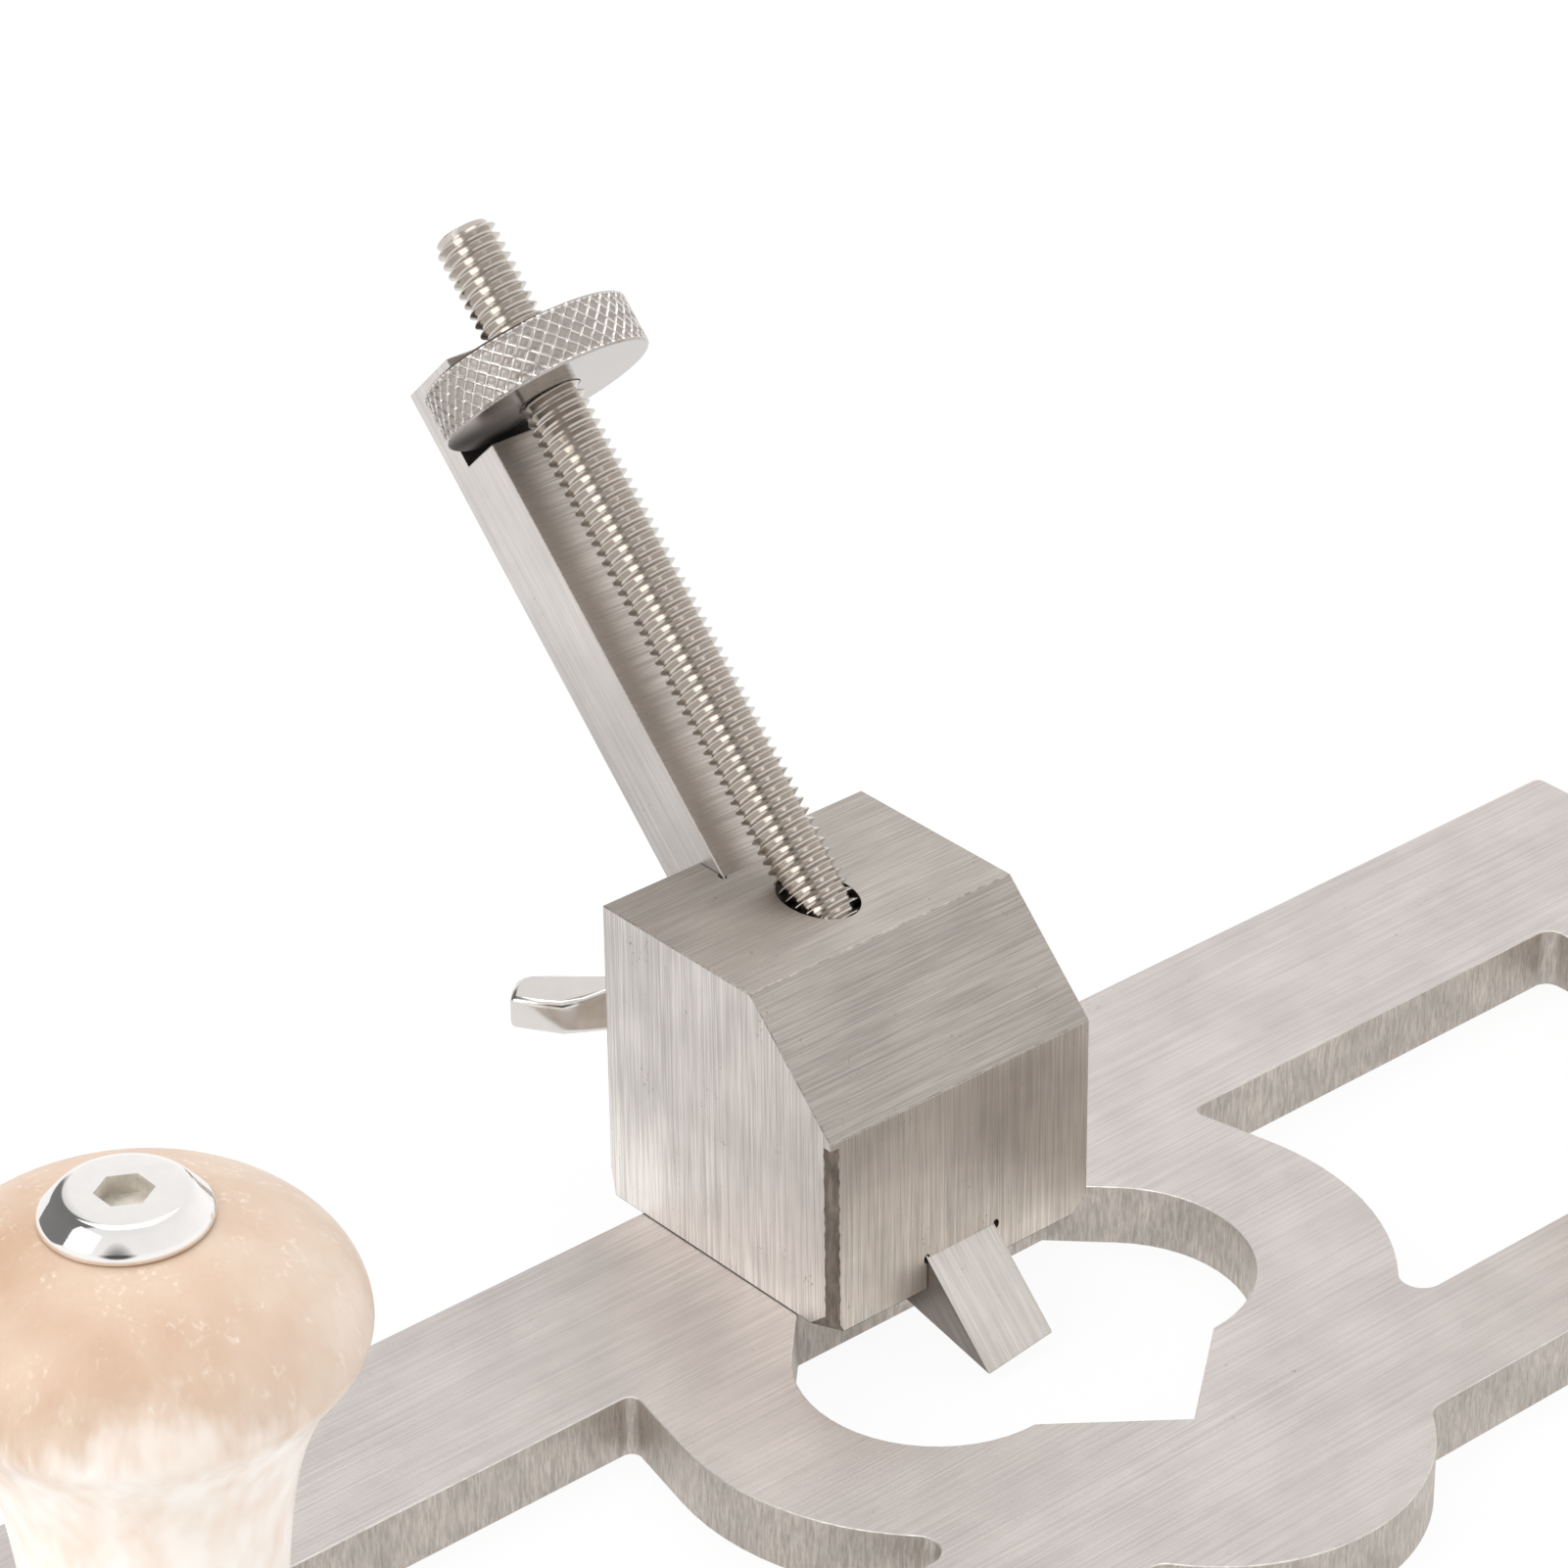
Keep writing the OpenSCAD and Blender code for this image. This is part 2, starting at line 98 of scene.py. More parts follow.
lens = bpy.data.cameras.new("camera")
lens.lens, lens.sensor_width, lens.sensor_fit = LENS_MM, SENSOR_MM, "HORIZONTAL"
lens.clip_start, lens.clip_end = 0.01, 20
camera = bpy.data.objects.new("camera", lens)
turn = camera_turn()
eye = Vector((0, BLOCK_BACK, PLATE_TOP)) - turn @ (Vector(FOOT_FROM_LENS_MM) * MM)
camera.matrix_world = Matrix.Translation(eye) @ turn.to_4x4()
bpy.context.scene.collection.objects.link(camera)
bpy.context.scene.camera = camera
print("camera at", [round(c, 4) for c in eye])

# %% [markdown]
# ## Finishes
# Steel shows how it was worked. A ground face has fine straight streaks, so its pattern is a
# noise that is long one way and very thin the other. A sawn face is grainy. Each finish below is
# that one idea with its own grain size, tone and gloss, and it reads the piece's own coordinates,
# so it stays put when the piece moves.


# %% Helpers for node trees
class Nodes:
    """A node tree and short ways to add to it."""

    def __init__(self, tree):
        self.tree = tree

    def feed(self, socket, value):
        """Gives a socket another node's output or a plain value."""
        if isinstance(value, bpy.types.NodeSocket):
            self.tree.links.new(value, socket)
        else:
            socket.default_value = value

    def node(self, kind, settings=None, **inputs):
        """A new node. In the name of an input, _ stands for a space."""
        made = self.tree.nodes.new(kind)
        for key, value in (settings or {}).items():
            setattr(made, key, value)
        for key, value in inputs.items():
            self.feed(made.inputs[key.replace("_", " ")], value)
        return made

    def calc(self, operation, *values):
        """The result of a Math node."""
        made = self.node("ShaderNodeMath", {"operation": operation})
        for socket, value in zip(made.inputs, values):
            self.feed(socket, value)
        return made.outputs[0]

    def compare(self, operation, first, second):
        """A number from two vectors: their dot product or their distance."""
        made = self.node("ShaderNodeVectorMath", {"operation": operation})
        self.feed(made.inputs[0], first)
        self.feed(made.inputs[1], second)
        return made.outputs["Value"]

    def remap(self, value, low, high, to_low=0.0, to_high=1.0, kind="LINEAR"):
        """The value carried from low..high over to to_low..to_high, and kept between those."""
        made = self.node("ShaderNodeMapRange", {"interpolation_type": kind}, Value=value,
                         From_Min=low, From_Max=high, To_Min=to_low, To_Max=to_high)
        return made.outputs[0]


class Finish(Nodes):
    """A material with its Principled shader."""

    def __init__(self, name, metallic, roughness):
        self.material = bpy.data.materials.new(name)
        self.material.use_nodes = True
        super().__init__(self.material.node_tree)
        self.shader = self.tree.nodes["Principled BSDF"]
        self.shader.inputs["Metallic"].default_value = metallic
        self.shader.inputs["Roughness"].default_value = roughness

    def plug(self, output, socket):
        """Links an output to one of the shader's sockets."""
        self.tree.links.new(output, self.shader.inputs[socket])

    def place(self):
        """The piece's own coordinates."""
        return self.node("ShaderNodeTexCoord").outputs["Object"]


# %% Patterns and colours
# The sockets that a Mix node has for colours
MIX_SHARE, MIX_FIRST, MIX_SECOND, MIX_RESULT = 0, 6, 7, 2


def grain(finish, size_mm, turn_deg=(0, 0, 0), detail=3.0, low=0.32, high=0.68):
    """A streak pattern from 0 to 1. size_mm is a streak's size along X, Y and Z."""
    mapping = finish.node("ShaderNodeMapping", {"vector_type": "TEXTURE"},
                          Vector=finish.place(), Rotation=[math.radians(a) for a in turn_deg],
                          Scale=[length * MM for length in size_mm])
    noise = finish.node("ShaderNodeTexNoise", Vector=mapping.outputs[0], Scale=1.0,
                        Detail=detail, Roughness=0.6)
    return finish.remap(noise.outputs["Fac"], low, high)


def between(finish, share, first, second, blend="MIX"):
    """A colour between two others, each a node's output or red, green and blue."""
    mix = finish.node("ShaderNodeMix", {"data_type": "RGBA", "blend_type": blend})
    finish.feed(mix.inputs[MIX_SHARE], share)
    for socket, colour in ((MIX_FIRST, first), (MIX_SECOND, second)):
        plain = isinstance(colour, (tuple, list))
        finish.feed(mix.inputs[socket], (*colour, 1) if plain else colour)
    return mix.outputs[MIX_RESULT]


def shaded(finish, colour, share, low, high):
    """The colour times a grey that runs from low to high with share."""
    grey = between(finish, share, (low,) * 3, (high,) * 3)
    return between(finish, 1, colour, grey, "MULTIPLY")


def faded(finish, colour, axis, low_mm, at_low, high_mm, at_high):
    """The colour times a grey that changes evenly along an axis."""
    along = finish.node("ShaderNodeSeparateXYZ", Vector=finish.place()).outputs[axis]
    return shaded(finish, colour, finish.remap(along, low_mm * MM, high_mm * MM), at_low, at_high)


def distance_share(finish, centre_mm, radius_mm):
    """Runs softly from 0 at a point to 1 at a distance from it."""
    away = finish.compare("DISTANCE", finish.place(), [c * MM for c in centre_mm])
    return finish.remap(away, 0.0, radius_mm * MM, kind="SMOOTHSTEP")


def with_shade_spot(finish, colour, centre_mm, radius_mm, shade):
    """The colour with a painted shade spot, darkest in its middle."""
    return shaded(finish, colour, distance_share(finish, centre_mm, radius_mm), shade, 1)


def weighted(finish, first, weight, second):
    """first * weight + second * (1 - weight)"""
    rest = finish.calc("MULTIPLY", second, 1 - weight)
    return finish.calc("MULTIPLY_ADD", first, weight, rest)


def tone(red, green, blue):
    """A screen colour, 0 to 255, as the light that the shader works in."""
    return tuple((c / 255 / 12.92) if c < 10.3 else ((c / 255 + 0.055) / 1.055) ** 2.4
                 for c in (red, green, blue))


# %% Worked steel
COARSER = 2.6  # times the size of the fine streaks
GLOSS_SPREAD = 0.06  # how much the streaks change the roughness
STREAK_RELIEF_MM = 0.03


def worked_steel(name, colour, size_mm, turn_deg=(0, 0, 0), contrast=0.25, roughness=0.4,
                 relief=0.25, patches=0.06, marks=0.25, metallic=0.9, light_fade=None, shade_spot=None,
                 coarse_share=0.35):
    """Steel with fine and coarse streaks, broad faint patches and a few dark marks, and where asked
    a painted light gradient and a painted shade spot.
    """
    steel = Finish(name, metallic, roughness)
    fine = grain(steel, size_mm, turn_deg, low=0.4, high=0.6)
    coarse = grain(steel, [length * COARSER for length in size_mm], turn_deg, detail=2.0,
                   low=0.38, high=0.62)
    streaks = weighted(steel, coarse, coarse_share, fine)
    # A light streak is white at most, so that it keeps its colour
    lighter = min(1 + contrast, 1 / max(colour))
    base = between(steel, streaks, [c * (1 - contrast) for c in colour],
                   [c * lighter for c in colour])
    cloud = grain(steel, (9, 7, 7), (20, 10, 30), detail=2.0)
    base = shaded(steel, base, cloud, 1 - patches, 1 + patches)
    # Painted light and shade, where asked: a gradient along one axis and a darker round spot
    if light_fade:
        base = faded(steel, base, *light_fade)
    if shade_spot:
        base = with_shade_spot(steel, base, *shade_spot)
    # Small pits come in clusters
    pits = grain(steel, (0.5, 0.35, 0.45), (0, 30, 25), low=0.6, high=0.7)
    clusters = grain(steel, (5, 3, 4), (10, 0, 40), detail=3.0, low=0.56, high=0.68)
    dents = steel.calc("MULTIPLY", pits, clusters)
    steel.plug(shaded(steel, base, dents, 1, 1 - marks), "Base Color")
    gloss = steel.remap(streaks, 0.0, 1.0, roughness + GLOSS_SPREAD, roughness - GLOSS_SPREAD)
    steel.plug(gloss, "Roughness")
    bump = steel.node("ShaderNodeBump", Strength=relief, Distance=STREAK_RELIEF_MM * MM,
                      Height=streaks)
    steel.plug(bump.outputs[0], "Normal")
    return steel.material


ALONG_CUTTER = (-45, 0, 0)
# Painted shade: the plate's top is toned darker towards its front end
plate_face = worked_steel("plate_face", tone(199, 192, 188), (12, 0.18, 0.18), contrast=0.1,
                          marks=0.3, light_fade=("Y", -50, 0.93, -22, 1.0))
# Painted shadow: the throat wall is darkened below the block's front corner
plate_wall = worked_steel("plate_wall", tone(190, 182, 174), (0.22, 0.22, 1.4), contrast=0.16,
                          roughness=0.5, relief=0.6, patches=0.1,
                          shade_spot=((-11, -17, 2), 13, 0.62))
plate_edge = worked_steel("plate_edge", tone(214, 208, 203), (1.2, 0.5, 0.5), contrast=0.12)
# Painted light: the block's tones differ by face as the light falls, darker on top and in front,
# lighter on the sides
block_top = worked_steel("block_top", tone(176, 169, 162), (9, 0.15, 0.15), contrast=0.17,
                         marks=0.5, coarse_share=0.25)
# Painted light: the sides are toned lighter low down and darker higher up
block_side = worked_steel("block_side", tone(250, 244, 239), (0.16, 0.16, 10), contrast=0.24,
                          roughness=0.55, marks=0.6, light_fade=("Z", 8, 1.0, 20, 0.745),
                          coarse_share=0.25)
# Painted shade: the front is toned darker higher up, with a painted reflection as a darker spot on
# it
block_front = worked_steel("block_front", tone(207, 197, 187), (0.16, 0.16, 9), contrast=0.18,
                           marks=0.5, patches=0.1, light_fade=("Z", 8, 1.0, 24, 0.76),
                           shade_spot=((5, -15.4, 19), 12, 0.86), coarse_share=0.25)
block_edge = worked_steel("block_edge", tone(168, 160, 153), (0.8, 0.5, 0.5), contrast=0.3)
rough_edge = worked_steel("rough_edge", tone(128, 118, 109), (0.5, 0.5, 2.6), contrast=0.3,
                          roughness=0.6, relief=1.0, patches=0.2, metallic=0.6)
# Painted shade: near black, for the insides of holes and the notch, and for the block's bottom edge
# as a contact shadow
painted_shade = worked_steel("painted_shade", tone(44, 42, 40), (0.3, 0.3, 0.3), contrast=0.3,
                         roughness=0.5, metallic=0.5)
tapped_wall = worked_steel("tapped_wall", tone(150, 142, 134), (0.3, 0.3, 0.3), contrast=0.3,
                           roughness=0.4)
# Painted shade: the bar's sides darken lower down, towards the block
bar_side = worked_steel("bar_side", tone(214, 208, 204), (0.18, 0.18, 12), ALONG_CUTTER,
                        contrast=0.09, roughness=0.33, light_fade=("Z", 38, 0.72, 56, 1.0))
# Painted shade: the bar's front darkens higher up, towards the wheel
bar_face = worked_steel("bar_face", tone(206, 198, 191), (7, 0.15, 0.15), ALONG_CUTTER,
                        contrast=0.14, roughness=0.36, light_fade=("Z", 58, 1.0, 70, 0.7),
                        coarse_share=0.2)
foot_face = worked_steel("foot_face", tone(211, 205, 199), (0.16, 0.16, 8), ALONG_CUTTER,
                         contrast=0.1, roughness=0.34)
# Painted shade: the foot's sides are toned dark, as in the shade under the block
foot_side = worked_steel("foot_side", tone(131, 123, 117), (0.16, 0.16, 8), ALONG_CUTTER,
                         contrast=0.12, roughness=0.36)
print("steel finishes:", len(bpy.data.materials))

# %% [markdown]
# ## Bright steel
# The stud, the wheel and the wing screw are machined and not ground, and the bolts are chromed.
# Their form makes the pattern, so the shader only needs a clean metal with a trace of haze.


# %% Turned, plated and chromed steel
def clean_metal(name, colour, roughness, haze=0.05, metallic=1.0):
    """Metal without streaks, only a little uneven in its tone and gloss."""
    metal = Finish(name, metallic, roughness)
    cloud = grain(metal, (1.6, 1.6, 1.6), detail=4.0)
    base = between(metal, cloud, [c * (1 - haze) for c in colour],
                   [min(1, c * (1 + haze)) for c in colour])
    metal.plug(base, "Base Color")
    metal.plug(metal.remap(cloud, 0.0, 1.0, roughness * 0.8, roughness * 1.25), "Roughness")
    return metal.material


# The painted shade on the wheel's underside: its reach, its darkest share, and the roughness and
# metallic at its middle
SHADE_SPOT_RADIUS_MM, SHADE_SPOT_DARKEST, SHADE_SPOT_ROUGHNESS, SHADE_SPOT_METALLIC = 9, 0.1, 0.7, 0.3


def turned_metal(name, colour, roughness, centre, lean_deg, notch_mm):
    """A faced disc: fine rings about its axis, and a painted shade and reflection, darkest where it
    runs in the notch.
    """
    metal = Finish(name, 1.0, roughness)
    mapping = metal.node("ShaderNodeMapping", {"vector_type": "TEXTURE"}, Vector=metal.place(),
                         Location=centre, Rotation=(math.radians(lean_deg), 0, 0),
                         Scale=(MM,) * 3)
    rings = metal.node("ShaderNodeTexWave", {"wave_type": "RINGS", "rings_direction": "Z"},
                       Vector=mapping.outputs[0], Scale=1.7, Distortion=0.3).outputs["Fac"]
    base = between(metal, rings, [c * 0.95 for c in colour], [min(1, c * 1.04) for c in colour])
    away = distance_share(metal, notch_mm, SHADE_SPOT_RADIUS_MM)
    metal.plug(shaded(metal, base, away, SHADE_SPOT_DARKEST, 1), "Base Color")
    # Under the painted shade it is also rougher and less metallic, or it would still mirror at a
    # low angle
    metal.plug(metal.remap(away, 0.0, 1.0, SHADE_SPOT_ROUGHNESS, roughness), "Roughness")
    metal.plug(metal.remap(away, 0.0, 1.0, SHADE_SPOT_METALLIC, 1.0), "Metallic")
    bump = metal.node("ShaderNodeBump", Strength=0.3, Distance=0.02 * MM, Height=rings)
    metal.plug(bump.outputs[0], "Normal")
    return metal.material


thread_steel = clean_metal("thread_steel", tone(204, 197, 190), 0.16, haze=0.02)
knurl_pocket = clean_metal("knurl_pocket", tone(176, 168, 162), 0.45, haze=0.12)
knurl_ridge = clean_metal("knurl_ridge", tone(232, 228, 224), 0.3, haze=0.05)
wing_steel = clean_metal("wing_steel", tone(222, 217, 212), 0.16, haze=0.03)
chrome = clean_metal("chrome", tone(244, 241, 238), 0.06, haze=0.02)
socket_steel = clean_metal("socket_steel", tone(212, 206, 196), 0.5, haze=0.2,
                           metallic=0.3)
dark_screw = clean_metal("dark_screw", tone(70, 68, 68), 0.4, haze=0.1)

# %% [markdown]
# ## Lacquered wood
# The knobs are pale turned wood under a clear lacquer: a warm peach with tan patches and short
# upright flecks. A painted glare, the white floor and a light on the right mirrored in the lacquer,
# whitens them below the head's middle and on the side to the right.


# %% Wood
# In mm: the painted glare of the white floor starts at the height PALE_FROM where the step aside
# from the knob's axis is PALE_MIDDLE, and PALE_DROP lower for each mm away from there. PALE_DEPTH
# below its start it is complete.
PALE_FROM, PALE_DROP, PALE_DEPTH, PALE_MIDDLE = 55.1, 0.45, 7.0, 2.5
PALE_SIDE = Vector((0.75709, -0.65319, -0.01193))  # the way to the right-hand side
RAGGED_MM = 3.0
# The painted glare on the right-hand side: where it starts and where it is full, in mm, and its
# largest share
SIDE_FROM, SIDE_TO, SIDE_GLARE = 1, 19, 0.45


def lacquered_wood(name, axis):
    """Peach wood with a painted glare: white below a slanting border and paler to the right."""
    wood = Finish(name, 0.0, 0.42)
    patches = grain(wood, (9, 9, 7), detail=2.0, low=0.35, high=0.65)
    fibres = grain(wood, (0.6, 0.6, 10), detail=4.0, low=0.4, high=0.6)
    base = between(wood, patches, tone(204, 170, 142), tone(214, 188, 164))
    base = shaded(wood, base, fibres, 0.985, 1.015)
    across = wood.calc("SUBTRACT", wood.compare("DOT_PRODUCT", wood.place(), PALE_SIDE),
                       Vector(axis).dot(PALE_SIDE))
    aside = wood.calc("ABSOLUTE", wood.calc("SUBTRACT", across, PALE_MIDDLE * MM))
    height = wood.node("ShaderNodeSeparateXYZ", Vector=wood.place()).outputs["Z"]
    height = wood.calc("MULTIPLY_ADD", aside, PALE_DROP, height)
    height = wood.calc("MULTIPLY_ADD", grain(wood, (2, 2, 6), detail=2.5), RAGGED_MM * MM, height)
    border = PALE_FROM + RAGGED_MM / 2
    # Painted glare: the white floor mirrored in the lacquer below the border, and a light mirrored
    # on the right-hand side
    below = wood.remap(height, border * MM, (border - PALE_DEPTH) * MM, kind="SMOOTHSTEP")
    beside = wood.remap(across, SIDE_FROM * MM, SIDE_TO * MM, 0.0, SIDE_GLARE)
    clouds = grain(wood, (4, 4, 9), detail=2.0, low=0.33, high=0.65)
    white = between(wood, clouds, tone(235, 217, 202), tone(248, 242, 235))
    # The painted glare is a little brighter low on the neck, nearest the floor
    white = faded(wood, white, "Z", 34, 1.07, 47, 1.0)
    colour = between(wood, wood.calc("MAXIMUM", below, beside), base, white)
    # Flecks stand in groups
    flecks = grain(wood, (0.6, 0.6, 2.2), detail=2.0, low=0.53, high=0.75)
    groups = grain(wood, (2.4, 2.4, 9), detail=2.0, low=0.5, high=0.64)
    flecks = wood.calc("MULTIPLY", wood.calc("MULTIPLY", flecks, groups), 0.5)
    wood.plug(between(wood, flecks, colour, tone(250, 240, 229)), "Base Color")
    wood.shader.inputs["Coat Weight"].default_value = 0.35
    wood.shader.inputs["Coat Roughness"].default_value = 0.25
    bump = wood.node("ShaderNodeBump", Strength=0.1, Distance=0.05 * MM, Height=fibres)
    wood.plug(bump.outputs[0], "Normal")
    return wood.material


# %% [markdown]
# ## From mesh to piece
# A piece is a finished bmesh turned into an object at the origin. It rides with one body of the
# tool and stands for the plain solid that has the same job.


# %% Making a piece
def make_piece(name, bm, body, materials, stands_for, sharp=20, flat_over=None):
    """Makes a bmesh an object. Faces of flat_over square mm and more take no soft shading."""
    bmesh.ops.recalc_face_normals(bm, faces=bm.faces)
    mesh = bpy.data.meshes.new(name)
    bm.to_mesh(mesh)
    bm.free()
    for each in materials:
        mesh.materials.append(each)
    mesh.shade_smooth()
    mesh.set_sharp_from_angle(angle=math.radians(sharp))
    if flat_over is not None:
        for polygon in mesh.polygons:
            polygon.use_smooth = polygon.area < flat_over * MM * MM
    obj = bpy.data.objects.new(name, mesh)
    bpy.context.scene.collection.objects.link(obj)
    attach(obj, body)
    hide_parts(stands_for)
    print(f"{name}: {len(mesh.polygons)} faces, {len(materials)} finishes")
    return obj


def merged_copy(node):
    """A copy of a plain solid with its triangles joined into flat faces."""
    bm = bmesh.new()
    bm.from_mesh(frame["nodes"][node].data)
    bmesh.ops.remove_doubles(bm, verts=bm.verts, dist=0.001 * MM)
    bmesh.ops.dissolve_limit(bm, angle_limit=math.radians(0.5), verts=bm.verts, edges=bm.edges)
    return bm


def break_edges(bm, width_mm, segments=2, only=None, clamp=True):
    """Bevels the sharp edges, as a file or a deburring wheel does."""
    sharp = [e for e in bm.edges if e.is_manifold and e.calc_face_angle() > math.radians(30)
             and (only is None or only(e))]
    bmesh.ops.bevel(bm, geom=sharp, offset=width_mm * MM, offset_type="OFFSET",
                    segments=segments, profile=0.5, affect="EDGES", material=-1,
                    clamp_overlap=clamp)
    return len(sharp)


# %% [markdown]
# ## The sole plate
# The plate is cut from 6 mm steel and ground flat, so its top is streaked along its length, its
# walls keep the upright grain of the cut, and its edges shine where they were deburred.

# %% Sole plate
PLATE_FACE, PLATE_WALL, PLATE_EDGE = range(3)
bm = merged_copy("base_plate")
print("plate edges broken:", break_edges(bm, 0.14))
for face in bm.faces:
    level = abs(face.normal.z)
    face.material_index = (PLATE_FACE if level > 0.98 else PLATE_WALL if level < 0.2
                           else PLATE_EDGE)
make_piece("sole_plate", bm, "frame", [plate_face, plate_wall, plate_edge],
           "base_plate", flat_over=20)

# %% [markdown]
# ## The tool block
# Its sides are ground upright and its top and chamfer across. Its tones are partly painted light,
# and the holes and the bottom edge are near black with painted shade.

# %% Tool block
TOP, SIDE, FRONT, EDGE, IN_SHADE, ROUGH, TAPPED = range(7)
STRIP_NORMAL = Vector((-1, -1, 0)).normalized()
STRIP_CUTS, WANDER_MM = 40, 0.04
STRAIGHT, SLANTED = 0.98, 0.69  # the least part of a normal that counts as such
SMALL_FACE = 0.3 * MM * MM
INSET = 0.1 * MM
wheel_joint = next(j for j in frame["joints"] if j["name"] == "wheel_spin")
wheel_centre = Vector(wheel_joint["pos_m"])
stud_line = Vector((0, 1, 1)).normalized()
low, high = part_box("tool_block")


def roughen_strip(bm):
    """Lets the long borders of the sawn strip wander, each in its flat neighbour's plane."""
    strip = max((f for f in bm.faces if f.normal.dot(STRIP_NORMAL) > 0.99),
                key=lambda f: f.calc_area())
    long_edges = [e for e in strip.edges if e.calc_length() > 8 * MM]
    made = bmesh.ops.subdivide_edges(bm, edges=long_edges, cuts=STRIP_CUTS)["geom_inner"]
    left = min(v.co.x for v in strip.verts)
    for v in made:
        if isinstance(v, bmesh.types.BMVert):
            along = v.co.z / MM
            waves = (math.sin(along * 2.1) + math.sin(along * 4.7 + 1)
                     + 0.7 * math.sin(along * 9.3 + 2))
            if v.co.x < left + 1e-6:
                v.co.y += WANDER_MM * waves * MM
            else:
                v.co.x += WANDER_MM * waves * MM
    return len(made)


def is_filed(edge):
    """The strip's own edges stay sharp, and so do the short edges."""
    on_strip = any(f.normal.dot(STRIP_NORMAL) > 0.9 for f in edge.link_faces)
    return edge.calc_length() > 4 * MM and not on_strip


def off_stud(point):
    """Distance from the stud's axis."""
    step = point - wheel_centre
    return (step - stud_line * step.dot(stud_line)).length


def block_finish(face):
    """The number of the finish that a face of the block has."""
    n, c = face.normal, face.calc_center_median()
    inside = all(low[i] + INSET < c[i] < high[i] - INSET for i in range(3))
    hole = inside and face.calc_area() > SMALL_FACE
    chamfer = n.y < -SLANTED and n.z > SLANTED
    corner = inside and abs(n.x) > 0.2 and c.z < low.z + 2.5 * MM and abs(c.x) > 13 * MM
    # The narrow faces of the bottom edge get the near-black painted shade, as a contact shadow
    if c.z < low.z + 0.16 * MM and abs(n.z) < STRAIGHT:
        return IN_SHADE
    if hole and 2.6 * MM < off_stud(c) < 3.4 * MM:
        return TAPPED
    if n.dot(STRIP_NORMAL) > 0.9 or corner:
        return ROUGH
    # Holes get the near-black painted shade inside
    if hole and not chamfer and abs(c.x) < 13.5 * MM:
        return IN_SHADE
    if abs(n.x) > STRAIGHT:
        return SIDE
    if abs(n.y) > STRAIGHT:
        return FRONT
    return TOP if abs(n.z) > STRAIGHT or chamfer else EDGE


bm = merged_copy("tool_block")
print("strip points:", roughen_strip(bm))
print("block edges broken:", break_edges(bm, 0.11, only=is_filed, clamp=False))
for face in bm.faces:
    face.material_index = block_finish(face)
make_piece("block", bm, "frame",
           [block_top, block_side, block_front, block_edge, painted_shade, rough_edge, tapped_wall],
           "tool_block", flat_over=6)

# %% [markdown]
# ## The cutter
# A ground square bar. Its front face is darker than its sides and the foot is bright, partly by
# painted light; the foot's sides and the notch are darkened with painted shade.

# %% Cutter
BAR_SIDE, BAR_FACE, FOOT_FACE, FOOT_SIDE, NOTCH_SHADE = range(5)
FOOT_LINE = 18 * MM  # forward and down from the block's top back edge
FOOT_SIDE_TOP, FOOT_FACE_TOP = 18 * MM, 16 * MM
bm = merged_copy("cutter")
print("cutter edges broken:", break_edges(bm, 0.12))
# The foot's part of the front face is a face of its own, so that it can have its own finish
bmesh.ops.bisect_plane(bm, geom=bm.verts[:] + bm.edges[:] + bm.faces[:], dist=1e-7,
                       plane_co=(0, BLOCK_BACK - FOOT_LINE, BLOCK_TOP - FOOT_LINE),
                       plane_no=stud_line)
ahead = Vector((0, -1, 1)).normalized()
wheel_at = wheel_centre.dot(stud_line)
front = max(v.co.dot(ahead) for v in bm.verts)
for face in bm.faces:
    n, c = face.normal, face.calc_center_median()
    in_notch = (abs(c.dot(stud_line) - wheel_at) < 4.2 * MM
                and c.dot(ahead) < front - 0.3 * MM)
    if abs(n.x) > 0.9:
        face.material_index = BAR_SIDE if c.z > FOOT_SIDE_TOP else FOOT_SIDE
    # Faces inside the notch get the near-black painted shade
    elif in_notch and n.dot(ahead) > -0.5:
        face.material_index = NOTCH_SHADE
    elif n.dot(ahead) > 0.9 and c.z > FOOT_FACE_TOP:
        face.material_index = BAR_FACE
    else:
        face.material_index = FOOT_FACE
make_piece("cutter_bar", bm, "cutter",
           [bar_side, bar_face, foot_face, foot_side, painted_shade], "cutter", flat_over=2)

# %% [markdown]
# ## The leaning axis
# The stud, the wheel and the cutter share one direction, 45 degrees up to the back. Pieces that
# turn about it are built upright round the origin, and this matrix leans them into place.

# %% Feed axis
LEAN = Matrix.Translation(wheel_centre) @ Matrix.Rotation(math.radians(-45), 4, "X")


def lathe(bm, profile_mm, steps, lead_mm=0.0, close=True):
    """Turns a line of (radius, height) points about Z, with a lead for a thread."""
    points = [bm.verts.new((r * MM, 0, z * MM)) for r, z in profile_mm]
    ends = points[1:] + ([points[0]] if close else [])
    line = [bm.edges.new(pair) for pair in zip(points, ends)]
    bmesh.ops.spin(bm, geom=points + line, cent=(0, 0, 0), axis=(0, 0, 1),
                   dvec=(0, 0, lead_mm * MM / steps), angle=math.tau, steps=steps,
                   use_merge=lead_mm == 0)
    bmesh.ops.remove_doubles(bm, verts=bm.verts, dist=0.002 * MM)


# %% [markdown]
# ## The threaded stud
# A thread is its outline swept round the axis while it climbs one pitch. The outline is repeated
# along the whole stud, spun once with that climb, and its last row then lands on its first.

# %% Threaded stud
PITCH, CREST, ROOT = 1.0, 2.96, 2.4
STUD_LOW, STUD_HIGH, PLAIN_TO = -70.7, 14.2, -56.0
# Within a pitch: where the flank starts, and where the crest starts and ends
FLANK_AT, CREST_AT, CREST_TO = 0.2, 0.55, 0.65
POINT_R, POINT_SLOPE = 2.35, 1.1


